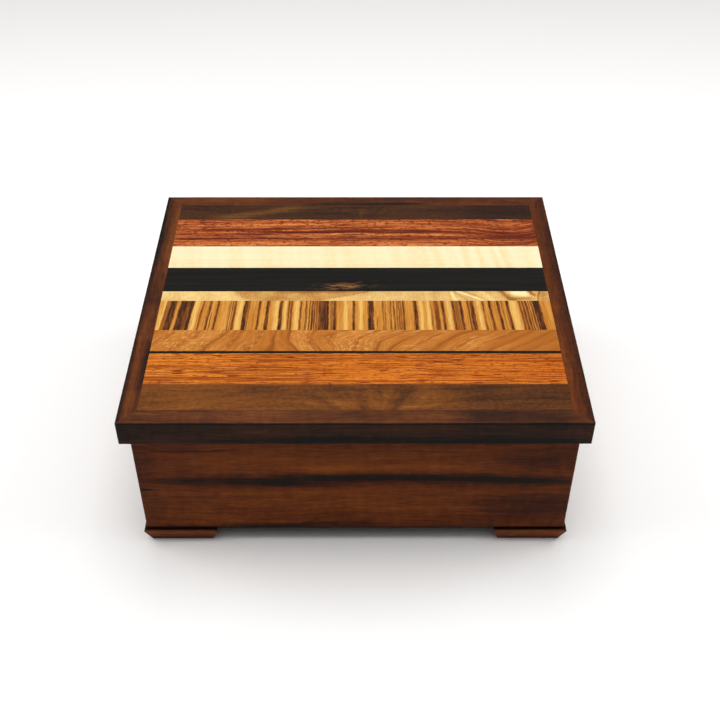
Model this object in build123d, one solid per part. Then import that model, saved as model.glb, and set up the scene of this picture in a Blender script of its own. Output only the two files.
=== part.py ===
from build123d import *
import math
import os

# A hinged wooden box: inlaid lid, mitred case, corner feet and a tray that slides on two ledges.
# Millimetres, +Z up, +Y to the back. The origin is under the middle of the box, on the table.

# Lid: a mitred frame, rebated from above for a core that carries the inlay strips
lid_width = 203.2
lid_depth = 174.8
lid_thickness = 12.6
lid_overhang = 3.9  # past the front and the two sides of the case
lid_gap = 0.2  # closed lid to rim
lip_width = 8.3  # rail that shows around the inlay
rail_width = 22.0
inlay_thickness = 3.0
core_thickness = 4.0
lid_ease = 0.5
lid_spline_length = 15.0
lid_spline_thickness = 2.0
spline_cover = 0.7  # wood left between a lid spline and the inside of the frame

# Inlay strips from the front to the back, which share the panel's depth in these parts
strip_parts = {
    "front_walnut_strip": 16.2,
    "padauk_strip": 20.6,
    "ebony_line": 1.7,
    "cherry_strip": 14.9,
    "zebrawood_strip": 21.9,
    "canarywood_strip": 7.4,
    "ebony_strip": 19.2,
    "maple_strip": 18.3,
    "bubinga_strip": 24.4,
    "back_walnut_strip": 13.6,
}

# Case: four boards mitred at the corners, grooved for a bottom panel
case_height = 60.0
wall_thickness = 10.0
case_ease = 0.8
bottom_thickness = 5.0
bottom_rise = 4.0  # lower edge of the boards to the groove
groove_depth = 4.0
panel_clearance = 0.3
spline_width = 8.0
spline_thickness = 2.0
spline_stop = 8.0  # top of the corner splines to the rim

# Feet: two strips mitred round each corner, widest just under their eased top, bevelled inwards below
foot_height = 9.0
foot_length = 34.0
foot_projection = 1.2
foot_round = 0.6
foot_lip = 0.9  # upright edge between the bevel and the top
foot_bevel_inset = 2.7

# Hinges: narrow brass butts on a line let into the back, opening until two bevels meet
hinge_length = 26.0
hinge_from_end = 41.7  # end of the case to the middle of a hinge
hinge_inset = 2.6  # pin axis to the back of the case
barrel_radius = 1.9
barrel_clearance = 0.25
pin_radius = 0.9
pin_clearance = 0.05
leaf_thickness = 1.1
leaf_margin = 1.0  # leaf to the inside of the case
leaf_clearance = 0.1
knuckle_count = 3
knuckle_gap = 0.2
stop_angle = 96.0
screw_head_radius = 1.6
screw_shank_radius = 0.8
screw_clearance = 0.05
screw_spacing = 15.0
screw_cover = 0.6  # wood left beyond a lid screw's end

# Tray: half the width of the case, on a ledge along the front and one along the back
tray_width = 86.0
tray_height = 22.0
tray_wall = 5.0
tray_ease = 0.8
tray_clearance = 0.4
tray_headroom = 1.5  # rim of the tray to the rim of the case
tray_bottom_thickness = 3.0
tray_bottom_rise = 1.5
tray_groove_depth = 2.0
tray_run = 0.2  # tray to ledge
scoop_radius = 28.0
scoop_depth = 5.0
divider_thickness = 3.0
divider_height = 12.0
ledge_width = 6.0
ledge_height = 6.0

# Suede pads
case_pad_thickness = 2.0
tray_pad_thickness = 1.5
lid_pad_thickness = 1.5
pad_clearance = 0.3

margin = 1.0  # how far a cutting shape runs past what it cuts


def inset(span, amount):
    low, high = span
    return (low + amount, high - amount)


def middle(span):
    return (span[0] + span[1]) / 2


# Spans of the main bodies
lid_x = (-lid_width / 2, lid_width / 2)
lid_y = (-lid_depth / 2, lid_depth / 2)
case_x = inset(lid_x, lid_overhang)
case_y = (lid_y[0] + lid_overhang, lid_y[1] - foot_projection)
case_z = (foot_height, foot_height + case_height)
inner_x = inset(case_x, wall_thickness)
inner_y = inset(case_y, wall_thickness)
lid_z = (case_z[1] + lid_gap, case_z[1] + lid_gap + lid_thickness)
core_z = (lid_z[1] - inlay_thickness - core_thickness, lid_z[1] - inlay_thickness)
panel_x = inset(lid_x, lip_width)
panel_y = inset(lid_y, lip_width)
opening_x = inset(lid_x, rail_width)
opening_y = inset(lid_y, rail_width)
bottom_z = (case_z[0] + bottom_rise, case_z[0] + bottom_rise + bottom_thickness)
tray_x = (inner_x[0] + tray_clearance, inner_x[0] + tray_clearance + tray_width)
tray_y = inset(inner_y, tray_clearance)
tray_z = (case_z[1] - tray_headroom - tray_height, case_z[1] - tray_headroom)
tray_inner_x = inset(tray_x, tray_wall)
tray_inner_y = inset(tray_y, tray_wall)
tray_bottom_z = (tray_z[0] + tray_bottom_rise, tray_z[0] + tray_bottom_rise + tray_bottom_thickness)
ledge_z = (tray_z[0] - tray_run - ledge_height, tray_z[0] - tray_run)

# Hinge line
pin_y = case_y[1] - hinge_inset
pin_z = case_z[1] + lid_gap / 2
leaf_width = wall_thickness - hinge_inset - leaf_margin
leaf_back = pin_y - barrel_radius - knuckle_gap  # where a leaf is notched for the other's knuckles
screw_y = (pin_y - leaf_width + leaf_back) / 2
screw_length = core_z[0] - lid_z[0] - screw_cover
hinge_middles = {"left": case_x[0] + hinge_from_end, "right": case_x[1] - hinge_from_end}
down, up = -1, 1


def block(x, y, z):
    spans = (x, y, z)
    sizes = [high - low for low, high in spans]
    return Pos(*[middle(span) for span in spans]) * Box(*sizes)


def prism(plane, points, length):
    return extrude(plane * make_face(Polyline(*points, close=True)), amount=length)


def mitred_sides(ring, x, y, z, width):
    """Cuts a rectangular ring along its corner diagonals into a front, right, back and left side."""
    reach = width + margin
    (x0, x1), (y0, y1) = x, y
    (u0, u1), (v0, v1) = inset(x, reach), inset(y, reach)
    outer = [(x0, y0), (x1, y0), (x1, y1), (x0, y1)]
    inner = [(u0, v0), (u1, v0), (u1, v1), (u0, v1)]
    sides = {}
    for i, side in enumerate(("front", "right", "back", "left")):
        j = (i + 1) % 4
        outline = [outer[i], outer[j], inner[j], inner[i]]
        sides[side] = ring & prism(Plane.XY.offset(z[0]), outline, z[1] - z[0])
    return sides


def corner_keys(x, y, z, step, across, along):
    """One flat key through each corner's mitre, stepped in from the outer corner along X and Y."""
    keys = []
    for sx in (-1, 1):
        for sy in (-1, 1):
            place = Pos(middle(x) + sx * (x[1] - middle(x) - step),
                        middle(y) + sy * (y[1] - middle(y) - step), middle(z))
            keys.append(place * Rot(0, 0, -45 * sx * sy) * Box(across, along, z[1] - z[0]))
    return keys


def rod(x, radius):
    """A cylinder on the hinge line."""
    return Pos(middle(x), pin_y, pin_z) * Rot(0, 90, 0) * Cylinder(radius, x[1] - x[0])


def screw(x, face_z, side, fit=0.0):
    """A countersunk screw whose head lies flush with a leaf; fit makes the hole for it."""
    head, shank, length = screw_head_radius + fit, screw_shank_radius + fit, screw_length + fit
    neck = screw_head_radius - screw_shank_radius
    outline = [(0, 0), (head, 0), (shank, -neck), (shank, -length), (0, -length)]
    solid = revolve(Plane.XZ * make_face(Polyline(*outline, close=True)), Axis.Z)
    turn = Rot(180, 0, 0) if side == up else Rot(0, 0, 0)
    return Pos(x, screw_y, face_z) * turn * solid


def pilot_hole(x, face_z, side):
    depth = screw_length + screw_clearance
    hole = Cylinder(screw_shank_radius + screw_clearance, depth)
    return Pos(x, screw_y, face_z + side * depth / 2) * hole


def screw_places():
    return [x + step * screw_spacing / 2 for x in hinge_middles.values() for step in (-1, 1)]


def hinge_span(x):
    return (x - hinge_length / 2, x + hinge_length / 2)


def leaf_z(face_z, side):
    return tuple(sorted((face_z, face_z + side * leaf_thickness)))


def hinge_leaf(x, face_z, side, first_knuckle):
    """A brass leaf with every other knuckle of the barrel, bored for the pin and countersunk."""
    z = leaf_z(face_z, side)
    span = hinge_span(x)
    leaf = block(span, (pin_y - leaf_width, leaf_back), z)
    pitch = hinge_length / knuckle_count
    for i in range(first_knuckle, knuckle_count, 2):
        start = span[0] + i * pitch
        knuckle = inset((start, start + pitch), knuckle_gap / 2)
        leaf += block(knuckle, (leaf_back, pin_y), z)
        leaf += rod(knuckle, barrel_radius)
    leaf -= rod(inset(span, -margin), pin_radius + pin_clearance)
    for step in (-1, 1):
        leaf -= screw(x + step * screw_spacing / 2, face_z, side, screw_clearance)
    return leaf


def hinge_pin(x):
    return rod(inset(hinge_span(x), knuckle_gap / 2), pin_radius)


def cut_for_hinges(wood, face_z, side):
    """Mortises for leaves and barrels, pilot holes, and the bevel behind the hinge line."""
    reach = lid_y[1] - pin_y + margin
    rise = side * reach * math.tan(math.radians(stop_angle / 2))
    bevel = [(pin_y, pin_z), (pin_y + reach, pin_z + rise), (pin_y + reach, pin_z)]
    wood -= prism(Plane.YZ.offset(lid_x[0] - margin), bevel, lid_width + 2 * margin)
    floor_z = face_z + side * leaf_thickness
    for x in hinge_middles.values():
        span = inset(hinge_span(x), -leaf_clearance)
        pocket_z = tuple(sorted((floor_z, face_z - side * margin)))
        wood -= block(span, (pin_y - leaf_width - leaf_clearance, pin_y), pocket_z)
        wood -= rod(span, barrel_radius + barrel_clearance)
    for x in screw_places():
        wood -= pilot_hole(x, face_z, side)
    return wood


def case_nodes():
    ring = block(case_x, case_y, case_z)
    ring = fillet(ring.edges().filter_by(Axis.Z) + ring.edges().group_by(Axis.Z)[0], case_ease)
    ring -= block(inner_x, inner_y, inset(case_z, -margin))
    ring -= block(inset(inner_x, -groove_depth), inset(inner_y, -groove_depth), bottom_z)
    ring = cut_for_hinges(ring, case_z[1], down)
    spline_z = (case_z[0], case_z[1] - spline_stop)
    splines = corner_keys(case_x, case_y, spline_z, wall_thickness / 2, spline_width, spline_thickness)
    nodes = {}
    for side, board in mitred_sides(ring, case_x, case_y, case_z, wall_thickness).items():
        nodes[side + "_board"] = board - splines
    nodes["corner_splines"] = Compound(splines)
    seat = groove_depth - panel_clearance
    nodes["bottom_panel"] = block(inset(inner_x, -seat), inset(inner_y, -seat), bottom_z)
    pad_z = (bottom_z[1], bottom_z[1] + case_pad_thickness)
    nodes["bottom_pad"] = block(inset(inner_x, pad_clearance), inset(inner_y, pad_clearance), pad_z)
    nodes["front_ledge"] = block(inner_x, (inner_y[0], inner_y[0] + ledge_width), ledge_z)
    nodes["back_ledge"] = block(inner_x, (inner_y[1] - ledge_width, inner_y[1]), ledge_z)
    return nodes


def foot_face():
    """The front strip of the front left foot."""
    left, front = case_x[0] - foot_projection, case_y[0] - foot_projection
    inside = inner_y[0]
    section = Plane.YZ.offset(left) * make_face(Polyline(
        (inside, 0),
        (front + foot_bevel_inset, 0),
        (front, foot_height - foot_lip),
        (front, foot_height),
        (inside, foot_height),
        close=True,
    ))
    strip = extrude(section, amount=foot_length)
    top_arris = strip.edges().filter_by(Axis.X).group_by(Axis.Z)[-1].sort_by(Axis.Y)[0]
    strip = fillet(top_arris, foot_round)
    end = left + foot_length
    side_view = [
        (left, 0),
        (end - foot_bevel_inset, 0),
        (end, foot_height - foot_lip),
        (end, foot_height),
        (left, foot_height),
    ]
    strip &= prism(Plane.XZ.offset(-inside), side_view, inside - front)
    mitre = [(left, front), (left + foot_length, front), (left + foot_length, front + foot_length)]
    return strip & prism(Plane.XY, mitre, foot_height)


def foot_nodes():
    face = foot_face()
    across_corner = Plane(origin=(case_x[0], case_y[0], 0), z_dir=(1, -1, 0))
    strips = {"face": face, "return": mirror(face, about=across_corner)}
    middle_plane = Plane.XZ.offset(-middle(case_y))
    nodes = {}
    for part, strip in strips.items():
        for end, row in (("front", strip), ("back", mirror(strip, about=middle_plane))):
            nodes[f"{end}_left_foot_{part}"] = row
            nodes[f"{end}_right_foot_{part}"] = mirror(row, about=Plane.YZ)
    return nodes


def lid_nodes():
    frame = block(lid_x, lid_y, lid_z)
    frame = fillet(frame.edges(), lid_ease)
    frame -= block(opening_x, opening_y, inset(lid_z, -margin))
    frame -= block(panel_x, panel_y, (core_z[0], lid_z[1] + margin))
    frame = cut_for_hinges(frame, lid_z[0], up)
    ledge_middle = (lid_z[0] + core_z[0]) / 2
    key_z = (ledge_middle - lid_spline_thickness / 2, ledge_middle + lid_spline_thickness / 2)
    key_step = rail_width - spline_cover - (lid_spline_length + spline_width) * math.sqrt(0.5) / 2
    keys = corner_keys(lid_x, lid_y, key_z, key_step, spline_width, lid_spline_length)
    nodes = {}
    for side, rail in mitred_sides(frame, lid_x, lid_y, lid_z, rail_width).items():
        nodes[f"lid_{side}_rail"] = rail - keys
    nodes["lid_splines"] = Compound(keys)
    nodes["lid_core"] = block(panel_x, panel_y, core_z)
    pad_z = (core_z[0] - lid_pad_thickness, core_z[0])
    nodes["lid_pad"] = block(inset(opening_x, pad_clearance), inset(opening_y, pad_clearance), pad_z)
    strip_z = (core_z[1], lid_z[1])
    part_width = (panel_y[1] - panel_y[0]) / sum(strip_parts.values())
    front = panel_y[0]
    for name, parts in strip_parts.items():
        back = front + parts * part_width
        nodes[name] = block(panel_x, (front, back), strip_z)
        front = back
    return nodes


def hinge_nodes():
    nodes = {}
    for side, x in hinge_middles.items():
        nodes[f"{side}_hinge_case_leaf"] = hinge_leaf(x, case_z[1], down, 0)
        nodes[f"{side}_hinge_lid_leaf"] = hinge_leaf(x, lid_z[0], up, 1)
        nodes[f"{side}_hinge_pin"] = hinge_pin(x)
    places = screw_places()
    nodes["case_leaf_screws"] = Compound([screw(x, case_z[1], down) for x in places])
    nodes["lid_leaf_screws"] = Compound([screw(x, lid_z[0], up) for x in places])
    return nodes


def tray_nodes():
    ring = block(tray_x, tray_y, tray_z) - block(tray_inner_x, tray_inner_y, inset(tray_z, -margin))
    ring = fillet(ring.faces().sort_by(Axis.Z)[-1].edges(), tray_ease)
    groove_x = inset(tray_inner_x, -tray_groove_depth)
    groove_y = inset(tray_inner_y, -tray_groove_depth)
    groove = block(groove_x, groove_y, tray_bottom_z)
    scoop_z = tray_z[1] + scoop_radius - scoop_depth
    scoop = Rot(0, 90, 0) * Cylinder(scoop_radius, tray_width + 2 * margin)
    ring -= [groove, Pos(middle(tray_x), middle(tray_y), scoop_z) * scoop]
    nodes = {}
    for side, wall in mitred_sides(ring, tray_x, tray_y, tray_z, tray_wall).items():
        nodes[f"tray_{side}"] = wall
    seat = tray_groove_depth - panel_clearance
    nodes["tray_bottom"] = block(inset(tray_inner_x, -seat), inset(tray_inner_y, -seat), tray_bottom_z)
    floor_z = tray_bottom_z[1]
    half = divider_thickness / 2
    divider_x = (middle(tray_x) - half, middle(tray_x) + half)
    divider_y = (middle(tray_y) - half, middle(tray_y) + half)
    divider_z = (floor_z, floor_z + divider_height)
    lower_z, upper_z = (floor_z, middle(divider_z)), (middle(divider_z), divider_z[1])
    crossing = (divider_x, divider_y)
    nodes["tray_long_divider"] = block(divider_x, tray_inner_y, divider_z) - block(*crossing, lower_z)
    nodes["tray_cross_divider"] = block(tray_inner_x, divider_y, divider_z) - block(*crossing, upper_z)
    pad_z = (floor_z, floor_z + tray_pad_thickness)
    columns = ((tray_inner_x[0], divider_x[0]), (divider_x[1], tray_inner_x[1]))
    rows = ((tray_inner_y[0], divider_y[0]), (divider_y[1], tray_inner_y[1]))
    pads = [block(inset(x, pad_clearance), inset(y, pad_clearance), pad_z) for x in columns for y in rows]
    nodes["tray_pads"] = Compound(pads)
    return nodes


os.makedirs("parts", exist_ok=True)
for make_nodes in (case_nodes, foot_nodes, lid_nodes, hinge_nodes, tray_nodes):
    for name, solid in make_nodes().items():
        export_step(solid, f"parts/{name}.step")
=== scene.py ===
import math

import bmesh
import bpy
from mathutils import Matrix, Vector, noise as wobble


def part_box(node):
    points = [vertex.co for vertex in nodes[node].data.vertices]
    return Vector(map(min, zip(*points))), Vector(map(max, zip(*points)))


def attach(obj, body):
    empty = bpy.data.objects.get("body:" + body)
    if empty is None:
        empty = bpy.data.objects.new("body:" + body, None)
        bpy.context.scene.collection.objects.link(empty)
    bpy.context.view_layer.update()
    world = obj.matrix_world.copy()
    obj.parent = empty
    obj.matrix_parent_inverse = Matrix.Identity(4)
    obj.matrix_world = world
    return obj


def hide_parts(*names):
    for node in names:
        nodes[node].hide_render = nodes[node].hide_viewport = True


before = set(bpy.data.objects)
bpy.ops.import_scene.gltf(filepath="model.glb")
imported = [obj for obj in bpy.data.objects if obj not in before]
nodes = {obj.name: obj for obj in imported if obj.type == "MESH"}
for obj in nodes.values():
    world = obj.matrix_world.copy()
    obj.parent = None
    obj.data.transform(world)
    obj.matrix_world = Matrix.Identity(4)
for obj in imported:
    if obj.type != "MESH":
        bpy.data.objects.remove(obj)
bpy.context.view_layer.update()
scene = bpy.context.scene
mm = 0.001
print("frame: loaded", len(nodes), "nodes")


# shader writing

class Sock:  # a socket that can be used like a number
    def __init__(self, shader, out):
        self.shader = shader
        self.out = out

    def math(self, operation, *values):
        return self.shader.add("ShaderNodeMath", {"operation": operation}, dict(enumerate(values)))

    def __add__(self, other):
        return self.math("ADD", self, other)

    def __sub__(self, other):
        return self.math("SUBTRACT", self, other)

    def __rsub__(self, other):
        return self.math("SUBTRACT", other, self)

    def __mul__(self, other):
        return self.math("MULTIPLY", self, other)

    def __truediv__(self, other):
        return self.math("DIVIDE", self, other)

    def __pow__(self, other):
        return self.math("POWER", self, other)

    def __abs__(self):
        return self.math("ABSOLUTE", self)

    __radd__ = __add__
    __rmul__ = __mul__


class Shader:  # one node tree, and the one way to add a node to it
    def __init__(self, name, tree=None, surface="Principled BSDF"):
        if tree is None:
            self.material = bpy.data.materials.new(name)
            self.material.use_nodes = True
            tree = self.material.node_tree
        self.tree = tree
        self.surface = tree.nodes[surface]

    def add(self, kind, settings=None, sockets=None, out=0):
        node = self.tree.nodes.new(kind)
        for key, value in (settings or {}).items():
            if key == "stops":
                setStops(node.color_ramp, value)
            else:
                setattr(node, key, value)
        for key, value in (sockets or {}).items():
            self.plug(node.inputs[key], value)
        return Sock(self, node.outputs[out])

    def plug(self, socket, value):
        if isinstance(value, Sock):
            self.tree.links.new(value.out, socket)
        else:
            socket.default_value = value

    def finish(self, sockets):
        for key, value in sockets.items():
            self.plug(self.surface.inputs[key], value)
        return getattr(self, "material", None)

    def place(self):  # the row frame in millimetres
        coords = self.add("ShaderNodeTexCoord", out="Object")
        scaled = self.add("ShaderNodeVectorMath", {"operation": "SCALE"}, {0: coords, "Scale": 1 / mm})
        split = self.add("ShaderNodeSeparateXYZ", None, {0: scaled})
        return [Sock(self, socket) for socket in split.out.node.outputs]

    def noise(self, x, y, z, detail=2.0, rough=0.5, twist=0.0):
        spot = self.add("ShaderNodeCombineXYZ", None, {0: x, 1: y, 2: z})
        sockets = {"Vector": spot, "Scale": 1.0, "Detail": detail, "Roughness": rough, "Distortion": twist}
        return self.add("ShaderNodeTexNoise", {"noise_dimensions": "3D"}, sockets)

    def rise(self, value, low, high):  # 0 below low, 1 above high, smooth between
        smooth = {"interpolation_type": "SMOOTHSTEP"}
        return self.add("ShaderNodeMapRange", smooth, {0: value, 1: low, 2: high})

    def fall(self, value, low, high):
        return 1.0 - self.rise(value, low, high)

    def blend(self, amount, first, second):
        return self.add("ShaderNodeMix", {"data_type": "RGBA"}, {0: amount, 6: first, 7: second}, out=2)

    def ramp(self, value, *stops):
        return self.add("ShaderNodeValToRGB", {"stops": stops}, {0: value})

    def lens(self, along, across, spot):  # a long soft streak, 1 in its middle
        ahead = along - spot["at"][0]
        far = ahead / spot["long"]
        side = (across - spot["at"][1] - ahead * spot.get("lean", 0.0)) / spot["wide"]
        return self.fall((far * far * far * far + side * side) ** 0.5, 0.0, 1.0)


def setStops(ramp, stops):
    while len(ramp.elements) < len(stops):
        ramp.elements.new(0.5)
    for element, (place, colour) in zip(ramp.elements, stops):
        element.position = place
        element.color = colour


def tone(red, green, blue):  # a colour as a screen shows it, 0 to 255
    def linear(value):
        part = value / 255
        return part / 12.92 if part <= 0.04045 else ((part + 0.055) / 1.055) ** 2.4
    return (linear(red), linear(green), linear(blue), 1.0)


# woods: places are millimetres, so a noise of x * 0.02 has marks about 50 mm long

satin = {  # hand-rubbed oil
    "rough": 0.46,
    "poreRough": 0.2,      # added where a pore is open
    "gloss": 0.06,
    "poreDepth": 0.06,     # millimetres
    "poreStrength": 0.4,
}


def oiled(wood, colour, pores, depth=1.0):
    relief = wood.add("ShaderNodeBump", None, {
        "Strength": satin["poreStrength"], "Distance": -depth * satin["poreDepth"] * mm, "Height": pores})
    return wood.finish({
        "Base Color": colour,
        "Roughness": satin["rough"] + pores * satin["poreRough"],
        "Specular IOR Level": satin["gloss"],
        "Normal": relief,
    })


def tide(*parts):  # noises about one half, each with its weight
    total = 0.5
    for value, weight in parts:
        total = total + (value - 0.5) * weight
    return total


def openPores(wood, along, across, level, low=0.57, high=0.70):  # fine dark lines along the grain
    return wood.rise(wood.noise(along * 0.13, across * 3.0, level * 3.0, 2.0, 0.6), low, high)


def threads(wood, along, across, level):  # fibres about half a millimetre wide
    return wood.noise(along * 0.08, across * 0.95, level * 0.95, 3.0, 0.75)


def rings(wood, value, soft=0.35):  # pale early wood that darkens to a sharp late edge
    saw = value.math("FRACT", value)
    return wood.rise(saw, soft, 0.92) * wood.fall(saw, 0.95, 1.0)


def mark(wood, depth, along, across, spots):  # lighter or darker places in a figure, and on the front board also painted shade
    for spot in spots:
        depth = depth + wood.lens(along, across, spot) * spot["shift"]
    return depth


def caseTones(*colours):  # from the black streaks to the palest wood
    return list(zip((0.18, 0.38, 0.53, 0.72), colours))


boardTones = caseTones(tone(23, 17, 12), tone(67, 28, 8), tone(100, 46, 10), tone(132, 68, 16))
railTones = {
    "plain": caseTones(tone(20, 17, 14), tone(59, 31, 17), tone(88, 45, 22), tone(118, 64, 27)),
    "cool": caseTones(tone(21, 19, 16), tone(60, 33, 20), tone(89, 48, 25), tone(119, 67, 32)),
    "warm": caseTones(tone(20, 16, 12), tone(59, 29, 14), tone(89, 43, 18), tone(120, 62, 22)),
}
# how strongly each part of the grain shows
caseGrain = {"figure": 0.3, "lines": 0.3, "fibre": 0.38, "mottle": 0.16, "pores": 0.36}


def caseWood(name, alongX, tones, streaks=(), edges=(), shift=0.0):
    wood = Shader(name)
    x, y, z = wood.place()
    along, across = (x, y) if alongX else (y, x)
    wander = wood.noise(along * 0.014, across * 0.05, z * 0.05) - 0.5
    side = across + wander * 10.0
    level = z + wander * 10.0
    figure = wood.noise(along * 0.006, side * 0.09, level * 0.09, 3.0)
    lines = wood.noise(along * 0.02, side * 0.5, level * 0.5, 3.0, 0.65)
    fibre = threads(wood, along, side, level)
    mottle = wood.noise(along * 0.3, side * 0.14, level * 0.14, 2.0)
    depth = tide((figure, caseGrain["figure"]), (lines, caseGrain["lines"]),
                 (fibre, caseGrain["fibre"]), (mottle, caseGrain["mottle"])) + shift
    rag = wander * 4.0 + (lines - 0.5) * 2.0
    # the front board's streaks include painted shade along its bottom edge
    depth = mark(wood, depth, along, z + rag, [spot for spot in streaks if spot.get("upright")])
    depth = mark(wood, depth, along, across + rag, [spot for spot in streaks if not spot.get("upright")])
    places = {"x": x, "y": y, "z": z}
    for edge in edges:
        off = abs(places[edge["axis"]] - edge["at"]) + (lines - 0.5) * edge.get("rag", 0.0)
        depth = depth + wood.fall(off, edge["solid"], edge["fade"]) * edge["shift"]
    colour = wood.ramp(depth, *tones)
    pores = openPores(wood, along, side, level)
    colour = wood.blend(pores * caseGrain["pores"], colour, tones[0][1])
    return oiled(wood, colour, pores)


caseFootShade = {"axis": "z", "at": 9.0, "solid": 0.6, "fade": 1.7, "shift": -0.4}  # shade line above the feet
# painted shade on the feet's top ledge, in the corner under the case
footLedgeShade = {"axis": "z", "at": 9.0, "solid": 0.03, "fade": 0.16, "shift": -0.5}
# darker towards the bottom of the feet: painted shade near the floor
footFloorShade = {"axis": "z", "at": 0.0, "solid": 0.5, "fade": 5.0, "shift": -0.16}
frontStreaksAndShade = [
    {"at": (-2, 53), "long": 84, "wide": 14, "upright": True, "shift": 0.13},
    {"at": (-14, 27), "long": 84, "wide": 18, "upright": True, "shift": 0.06},
    {"at": (-56, 41.4), "long": 50, "wide": 3.6, "lean": -0.03, "upright": True, "shift": -0.15},
    {"at": (-42, 40.6), "long": 22, "wide": 4.4, "lean": -0.02, "upright": True, "shift": -0.08},
    {"at": (-18, 44.0), "long": 24, "wide": 3.6, "upright": True, "shift": -0.13},
    {"at": (36, 43.2), "long": 74, "wide": 4.0, "lean": -0.018, "upright": True, "shift": -0.22},
    {"at": (30, 42.2), "long": 84, "wide": 9.0, "lean": -0.014, "upright": True, "shift": -0.12},
    {"at": (-50, 41.0), "long": 46, "wide": 8.0, "lean": -0.02, "upright": True, "shift": -0.12},
    {"at": (14, 49.4), "long": 54, "wide": 3.8, "upright": True, "shift": 0.1},
    {"at": (76, 42.2), "long": 36, "wide": 2.6, "lean": -0.014, "upright": True, "shift": -0.16},
    {"at": (-72, 61), "long": 22, "wide": 1.6, "upright": True, "shift": -0.16},
    {"at": (88, 54), "long": 34, "wide": 10.0, "upright": True, "shift": -0.09},
    {"at": (88, 24), "long": 44, "wide": 15.0, "upright": True, "shift": -0.16},
    # these two darken the board's bottom edge: painted shade above and between the feet
    {"at": (-22, 11.5), "long": 50, "wide": 4.0, "upright": True, "shift": -0.16},
    {"at": (-58, 9.6), "long": 46, "wide": 3.0, "upright": True, "shift": -0.2},
    {"at": (-74, 53), "long": 26, "wide": 14, "upright": True, "shift": 0.06},
    {"at": (-97, 40), "long": 12, "wide": 40, "upright": True, "shift": -0.06},
    {"at": (-94.5, 36.2), "long": 3.4, "wide": 1.0, "upright": True, "shift": -0.3},
]
backStreaks = [
    {"at": (-20, 36), "long": 90, "wide": 5.0, "lean": 0.02, "upright": True, "shift": -0.3},
    {"at": (60, 40), "long": 44, "wide": 3.6, "lean": 0.03, "upright": True, "shift": -0.24},
    {"at": (10, 54), "long": 80, "wide": 12, "upright": True, "shift": 0.08},
]
sideStreaks = [
    {"at": (-24, 42), "long": 70, "wide": 4.6, "lean": 0.02, "upright": True, "shift": -0.32},
    {"at": (58, 45), "long": 40, "wide": 3.2, "lean": 0.03, "upright": True, "shift": -0.22},
    {"at": (10, 26), "long": 70, "wide": 14, "upright": True, "shift": 0.06},
]
railMarks = {
    "front": {
        "streaks": [
            {"at": (70, -83), "long": 34, "wide": 9.0, "shift": -0.2},
            {"at": (-4, -84), "long": 26, "wide": 4.0, "shift": -0.08},
            {"at": (-62, -82), "long": 44, "wide": 9.0, "shift": 0.08},
            {"at": (-10, 72.0), "long": 74, "wide": 3.4, "lean": 0.006, "upright": True, "shift": -0.2},
            {"at": (62, 70.6), "long": 46, "wide": 3.2, "upright": True, "shift": -0.2},
            {"at": (-78, 76), "long": 36, "wide": 14, "upright": True, "shift": -0.09},
            {"at": (76, 78), "long": 34, "wide": 6, "upright": True, "shift": 0.04},
        ],
        "edges": [
            {"axis": "y", "at": -87.4, "solid": 0.2, "fade": 0.6, "shift": -0.2},
            {"axis": "z", "at": 81.15, "solid": 0.15, "fade": 0.5, "shift": -0.2},
        ],
        "tones": railTones["cool"],
        "shift": 0.04,
    },
    "left": {
        "streaks": [
            {"at": (-50, -93.6), "long": 22, "wide": 4.6, "shift": -0.3},
            {"at": (-50, -98.0), "long": 54, "wide": 12, "shift": 0.07},
            {"at": (62, -100.6), "long": 46, "wide": 5.4, "shift": -0.15},
            {"at": (46, -93.4), "long": 46, "wide": 3.6, "shift": 0.13},
            {"at": (4, -97.0), "long": 18, "wide": 4.6, "shift": -0.09},
        ],
        "edges": [{"axis": "x", "at": -101.6, "solid": 0.3, "fade": 3.0, "rag": 1.5, "shift": -0.24}],
        "tones": railTones["plain"],
        "shift": -0.01,
    },
    "right": {
        "streaks": [{"at": (-46, 96), "long": 70, "wide": 10, "shift": 0.07}],
        "edges": [{"axis": "x", "at": 101.6, "solid": 0.2, "fade": 7.0, "rag": 1.5, "shift": -0.13}],
        "tones": railTones["warm"],
        "shift": 0.0,
    },
    "back": {
        "streaks": [
            {"at": (4, 80), "long": 40, "wide": 3.0, "shift": -0.26},
            {"at": (-70, 83), "long": 34, "wide": 7.0, "shift": 0.06},
        ],
        "edges": [{"axis": "y", "at": 87.4, "solid": 0.2, "fade": 2.0, "rag": 1.5, "shift": -0.2}],
        "tones": railTones["plain"],
        "shift": -0.02,
    },
}


walnutGrain = {"figure": 0.5, "lines": 0.22, "fibre": 0.32, "mottle": 0.45, "pores": 0.4}


def walnut(name, settings):
    wood = Shader(name)
    x, y, z = wood.place()
    seed = settings["seed"]
    wander = wood.noise(x * 0.018, y * 0.07, seed) - 0.5
    side = y + wander * 9.0
    figure = wood.noise(x * 0.016, side * 0.14, seed + z * 0.1, 3.0)
    lines = wood.noise(x * 0.035, side * 0.6, seed + z, 3.0, 0.65)
    fibre = threads(wood, x, side, seed + z)
    mottle = wood.noise(x * 0.42, y * 0.5, seed, 3.0, 0.75)
    depth = tide((figure, walnutGrain["figure"]), (lines, walnutGrain["lines"]),
                 (fibre, walnutGrain["fibre"]), (mottle, walnutGrain["mottle"]))
    shine = settings["feather"]  # streaks that fan out from one point
    reach = x - shine["from"][0]
    rise = y - shine["from"][1]
    fan = wood.noise(reach / rise * shine["rays"], rise * 0.05, seed + 5.0, 3.0)
    depth = depth + wood.lens(x, y, shine) * (fan - 0.5) * shine["shift"]
    depth = mark(wood, depth, x, y + wander * 12.0 + (lines - 0.5) * 6.0, settings["patches"])
    colour = wood.ramp(depth, *settings["stops"])
    pores = openPores(wood, x, side, z)
    colour = wood.blend(pores * walnutGrain["pores"], colour, settings["poreTone"])
    return oiled(wood, colour, pores)


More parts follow.
